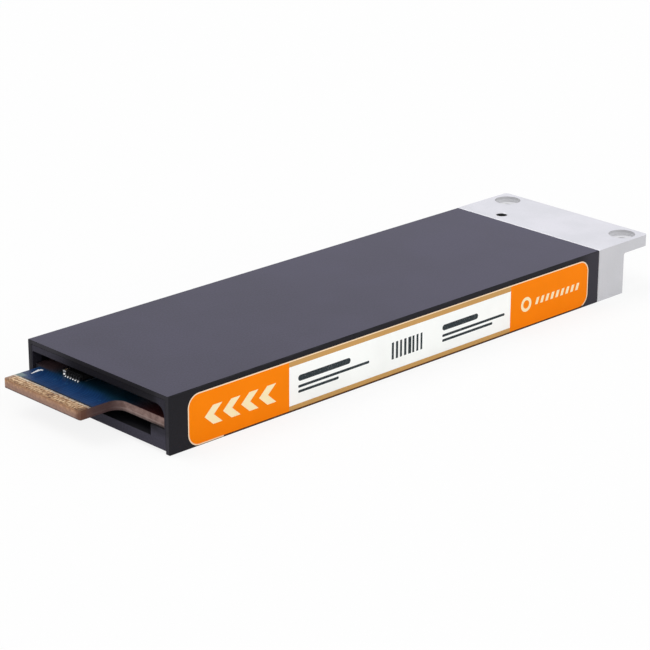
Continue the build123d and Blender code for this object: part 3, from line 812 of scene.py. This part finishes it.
def dress_nodes():
    """Give each kept node its finish."""
    package = mould_compound("package_compound", True)
    pad = filled_silicone()
    finishes = {
        # The top and front tones of both anodised finishes hold painted sheen and painted light.
        "top_cover": anodised(
            "cover_anodising", DARK_DYE, (0.056, 0.052, 0.085), (0.024, 0.022, 0.031), 0.15, 0.38
        ),
        "base_tray": anodised(
            "tray_anodising",
            (0.022, 0.0208, 0.03),
            (0.012, 0.0115, 0.014),
            (0.042, 0.039, 0.056),
            0.1,
            0.48,
        ),
        "latch_bracket": bead_blasted_aluminium(),
        "circuit_board": board_laminate(),
        "edge_contacts": gold_plating(),
        "controller_chip": package,
        "dram_chip": package,
        "flash_chip": package,
        "power_manager_chip": mould_compound("power_compound", False),
        "load_switch_chip": leaded_switch(),
        "power_inductor": pressed_powder(),
        "hold_up_capacitor": moulded_capacitor(),
        "clock_crystal": crystal_case(),
        "ceramic_capacitors": fired_ceramic(),
        "status_led": lamp_lens(),
        "controller_pad": pad,
        "dram_pad": pad,
        "flash_pad": pad,
        "screws": plated_steel(),
        # The label sheet carries a painted contact shadow along its lower edge.
        "label_sheet": film("label_border_film", (0.9, 0.7, 0.48), SHADOW_BROWN, shadowed_lower_border),
        "label_end_fields": film("label_orange_film", (0.94, 0.228, 0.001), CREAM, end_field_print),
        "label_stripes": film("label_tan_film", (0.56, 0.32, 0.11)),
        "label_panel": film("label_white_film", (0.965, 0.98, 0.96), INK, panel_print),
    }
    for name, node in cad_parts.items():
        finish = next(finishes[key] for key in finishes if key in name)
        for slot in node.material_slots:
            slot.material = finish
    return finishes


# Pieces too fine for the solids

SHARP_ANGLE = 35
RING_POINTS = 48

# The screws' driver recess: its radius and the swing of its lobes, and from its floor outwards the
# share of this radius, what is added to it, and the height
RECESS_RADIUS = 0.56
RECESS_LOBES = 0.12
RECESS_OUTLINE = ((0.5, 0.0, 0.62), (1.0, 0.0, 0.55), (1.0, 0.0, 0.04), (1.0, 0.05, 0.0))

# The screws' head by radius and height, and their tip by radius and depth below its end
HEAD_OUTLINE = ((1.75, 0.0), (1.85, 0.06), (1.83, 0.16), (0.94, 1.0))
TIP_OUTLINE = ((0.85, 0.2), (0.6, 0.0))

# The screws' thread: where it starts above their lowest point and ends below their highest
THREAD_START = 1.1
THREAD_END = 0.3
THREAD_CORE = 0.85
THREAD_DEPTH = 0.09
THREAD_PITCH = 0.4
THREAD_STEPS = 6

# The small capacitors: share of a cap's length at which the body starts, how far it lies below the
# caps, and the bevels of both
CERAMIC_START = 0.8
CERAMIC_INSET = 0.02
CERAMIC_BEVEL = 0.05
CAP_BEVEL = 0.08

# A solder joint: how wide it still is at each share of its height, and its points
SOLDER_FLARE = ((1.0, 0.0), (1.0, 0.03), (0.8, 0.22), (0.62, 0.5), (0.42, 0.82), (0.15, 1.0))
SOLDER_POINTS = 16

# Half lengths in X and Y and the height of the joints at leads and at small capacitors
LEAD_JOINT = (0.12, 0.13, 0.1)
CAPACITOR_JOINT = (0.16, 0.36, 0.14)


def add_piece(name, mesh, finish):
    """A finished piece that rides on the module."""
    bmesh.ops.recalc_face_normals(mesh, faces=mesh.faces)
    data = bpy.data.meshes.new(name)
    mesh.to_mesh(data)
    mesh.free()
    data.transform(Matrix.Scale(MM, 4))
    data.materials.append(finish)
    piece = bpy.data.objects.new(name, data)
    bpy.context.scene.collection.objects.link(piece)
    data.shade_smooth()
    data.set_sharp_from_angle(angle=math.radians(SHARP_ANGLE))
    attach(piece, "root")
    return piece


def add_block(mesh, low, high, bevel):
    """A block with softened edges."""
    size = Vector(high) - Vector(low)
    centre = (Vector(high) + Vector(low)) / 2
    matrix = Matrix.Translation(centre) @ Matrix.Diagonal((*size, 1))
    verts = bmesh.ops.create_cube(mesh, size=1, matrix=matrix)["verts"]
    edges = {edge for vert in verts for edge in vert.link_edges}
    bmesh.ops.bevel(mesh, geom=list(edges), offset=bevel, segments=2, affect="EDGES", profile=0.5)


def add_rings(mesh, rings):
    """A closed skin through rings of equally many points, with a flat end on the first and last."""
    made = [[mesh.verts.new(point) for point in ring] for ring in rings]
    for lower, upper in zip(made, made[1:]):
        for index, vert in enumerate(lower):
            following = (index + 1) % len(lower)
            mesh.faces.new((vert, lower[following], upper[following], upper[index]))
    mesh.faces.new(reversed(made[0]))
    mesh.faces.new(made[-1])


def ring(x, y, z, radius):
    """Points round an upright axis. The radius may depend on the angle."""
    points = []
    for index in range(RING_POINTS):
        angle = 2 * math.pi * index / RING_POINTS
        reach = radius(angle) if callable(radius) else radius
        points.append((x + reach * math.cos(angle), y + reach * math.sin(angle), z))
    return points


def six_lobes(angle):
    """The outline of the driver recess."""
    return RECESS_RADIUS + RECESS_LOBES * math.cos(6 * angle)


def thread(angle, z):
    """The radius of the thread's flanks at an angle and a height."""
    turn = (z / THREAD_PITCH - angle / (2 * math.pi)) % 1
    return THREAD_CORE + THREAD_DEPTH * (1 - abs(2 * turn - 1))


def make_screws(finish):
    """Flat-head screws with a six-lobe recess and a rolled thread."""
    for node in ("cover_screws", "bracket_screws"):
        mesh = bmesh.new()
        for low, high in islands_of(node):
            x, y = (low.x + high.x) / 2, (low.y + high.y) / 2
            rings = [
                ring(x, y, low.z + height, lambda angle: six_lobes(angle) * share + wider)
                for share, wider, height in RECESS_OUTLINE
            ]
            rings += [ring(x, y, low.z + height, radius) for radius, height in HEAD_OUTLINE]
            z = low.z + THREAD_START
            while z < high.z - THREAD_END:
                rings.append(ring(x, y, z, lambda angle: thread(angle, z)))
                z += THREAD_PITCH / THREAD_STEPS
            rings += [ring(x, y, high.z - depth, radius) for radius, depth in TIP_OUTLINE]
            add_rings(mesh, rings)
        piece = add_piece(node + "_threaded", mesh, finish)
        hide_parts(node)


def make_small_capacitors(body_finish, end_finish):
    """Ceramic bodies with rounded edges between tinned caps."""
    bodies, ends = bmesh.new(), bmesh.new()
    for low, high in islands_of("ceramic_capacitors"):
        cap = (high.x - low.x) * CERAMIC_END
        inset = Vector((cap * CERAMIC_START, CERAMIC_INSET, CERAMIC_INSET))
        add_block(bodies, low + inset, high - inset, CERAMIC_BEVEL)
        add_block(ends, low, (low.x + cap, high.y, high.z), CAP_BEVEL)
        add_block(ends, (high.x - cap, low.y, low.z), high, CAP_BEVEL)
    piece = add_piece("ceramic_capacitor_bodies", bodies, body_finish)
    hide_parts("ceramic_capacitors")
    add_piece("ceramic_capacitor_ends", ends, end_finish)


def add_solder(mesh, x, y, z, half_x, half_y, height):
    """A solder joint that flares out onto its pad."""
    angles = [2 * math.pi * index / SOLDER_POINTS for index in range(SOLDER_POINTS)]
    rings = []
    for share, level in SOLDER_FLARE:
        wide_x, wide_y = half_x * share, half_y * share
        rings.append(
            [
                (x + wide_x * math.cos(angle), y + wide_y * math.sin(angle), z + height * level)
                for angle in angles
            ]
        )
    add_rings(mesh, rings)


def make_solder_joints(finish):
    """Joints at the load switch's leads and at the small capacitors' ends."""
    mesh = bmesh.new()
    middle_y = (switch_low.y + switch_high.y) / 2
    for x in (switch_low.x, switch_high.x):
        for index in range(LEAD_COUNT):
            y = middle_y + (index - (LEAD_COUNT - 1) / 2) * LEAD_PITCH
            add_solder(mesh, x, y, board_high.z, *LEAD_JOINT)
    for low, high in islands_of("ceramic_capacitors"):
        for x in (low.x, high.x):
            add_solder(mesh, x, (low.y + high.y) / 2, board_high.z, *CAPACITOR_JOINT)
    add_piece("solder_joints", mesh, finish)


# Stage, light and camera

FLOOR_SIZE = 4000
FLOOR_GAP = 0.02
FLOOR_GLOW = 0.86
EVEN_LIGHT = 0.62

# The photograph's camera: its lens, its turn in degrees, and its place, from a middle
FOCAL_PIXELS = 2460.152
PICTURE_PIXELS = 650
SENSOR = 36.0
AZIMUTH, ELEVATION, ROLL = -44.028, 20.398, 0.206
CENTRE = (-2.375, 0, 5)
ASIDE, ABOVE, DISTANCE = 1.083, 1.371, 408.753


def seen_ray(tree):
    """1 for rays that show the stage itself, 0 for those that light the object."""
    path = tree.nodes.new("ShaderNodeLightPath")
    total = path.outputs["Is Camera Ray"]
    for kind in ("Is Glossy Ray", "Is Transmission Ray"):
        either = tree.nodes.new("ShaderNodeMath")
        either.operation = "MAXIMUM"
        tree.links.new(total, either.inputs[0])
        tree.links.new(path.outputs[kind], either.inputs[1])
        total = either.outputs[0]
    return total


def mix_shaders(tree, share, under, over, output_kind):
    """End a tree with one shader over another, by a share."""
    mix = tree.nodes.new("ShaderNodeMixShader")
    output = tree.nodes.new(output_kind)
    tree.links.new(share, mix.inputs[0])
    tree.links.new(under.outputs[0], mix.inputs[1])
    tree.links.new(over.outputs[0], mix.inputs[2])
    tree.links.new(mix.outputs[0], output.inputs["Surface"])


def make_floor():
    """A plain pale floor that fades into the white background and keeps the shadow."""
    mesh = bmesh.new()
    bmesh.ops.create_grid(mesh, x_segments=1, y_segments=1, size=FLOOR_SIZE)
    data = bpy.data.meshes.new("floor")
    mesh.to_mesh(data)
    mesh.free()
    data.transform(Matrix.Scale(MM, 4))
    floor = bpy.data.objects.new("floor", data)
    floor.location.z = -FLOOR_GAP * MM
    bpy.context.scene.collection.objects.link(floor)
    material = bpy.data.materials.new("pale_floor")
    material.use_nodes = True
    tree = material.node_tree
    tree.nodes.clear()
    diffuse = tree.nodes.new("ShaderNodeBsdfDiffuse")
    diffuse.inputs["Color"].default_value = grey(0.9)
    glow = tree.nodes.new("ShaderNodeEmission")
    glow.inputs["Strength"].default_value = 1.0
    shown = tree.nodes.new("ShaderNodeMath")
    shown.operation = "MULTIPLY"
    tree.links.new(seen_ray(tree), shown.inputs[0])
    shown.inputs[1].default_value = FLOOR_GLOW
    mix_shaders(tree, shown.outputs[0], diffuse, glow, "ShaderNodeOutputMaterial")
    data.materials.append(material)


def make_world():
    """White behind the object, and a softer even light on it."""
    world = bpy.data.worlds.new("studio")
    bpy.context.scene.world = world
    world.use_nodes = True
    tree = world.node_tree
    tree.nodes.clear()
    backgrounds = []
    for strength in (EVEN_LIGHT, 1.0):
        background = tree.nodes.new("ShaderNodeBackground")
        background.inputs["Color"].default_value = grey(1.0)
        background.inputs["Strength"].default_value = strength
        backgrounds.append(background)
    mix_shaders(tree, seen_ray(tree), *backgrounds, "ShaderNodeOutputWorld")


def make_lamp(name, towards, strength, spread):
    """A distant soft lamp that shines from a direction."""
    lamp = bpy.data.lights.new(name, "SUN")
    lamp.energy = strength
    lamp.angle = math.radians(spread)
    holder = bpy.data.objects.new(name, lamp)
    holder.rotation_mode = "QUATERNION"
    holder.rotation_quaternion = Vector(towards).to_track_quat("Z", "Y")
    bpy.context.scene.collection.objects.link(holder)


def make_camera():
    """The photograph's view: from the card edge's near corner, a little above."""
    azimuth, elevation, roll = (math.radians(angle) for angle in (AZIMUTH, ELEVATION, ROLL))
    back = Vector(
        (
            math.sin(azimuth) * math.cos(elevation),
            -math.cos(azimuth) * math.cos(elevation),
            math.sin(elevation),
        )
    )
    level = Vector((math.cos(azimuth), math.sin(azimuth), 0))
    rise = back.cross(level)
    right = math.cos(roll) * level + math.sin(roll) * rise
    up = math.cos(roll) * rise - math.sin(roll) * level
    eye = (Vector(CENTRE) - ASIDE * right - ABOVE * up + DISTANCE * back) * MM
    lens = bpy.data.cameras.new("camera")
    lens.sensor_width = SENSOR
    lens.lens = SENSOR * FOCAL_PIXELS / PICTURE_PIXELS
    lens.clip_start = 0.01
    camera = bpy.data.objects.new("camera", lens)
    turn = Matrix((right, up, back)).transposed().to_4x4()
    camera.matrix_world = Matrix.Translation(eye) @ turn
    bpy.context.scene.collection.objects.link(camera)
    bpy.context.scene.camera = camera


def main():
    finishes = dress_nodes()
    tin = soldered_tin()
    make_screws(finishes["screws"])
    make_small_capacitors(finishes["ceramic_capacitors"], tin)
    make_solder_joints(tin)
    make_floor()
    make_world()
    make_lamp("key_lamp", (-0.2, 0.45, 0.85), 1.16, 40)
    make_lamp("fill_lamp", (-0.1, -0.95, 0.35), 1.0, 60)
    make_camera()
    bpy.context.scene.view_settings.view_transform = "Standard"


main()
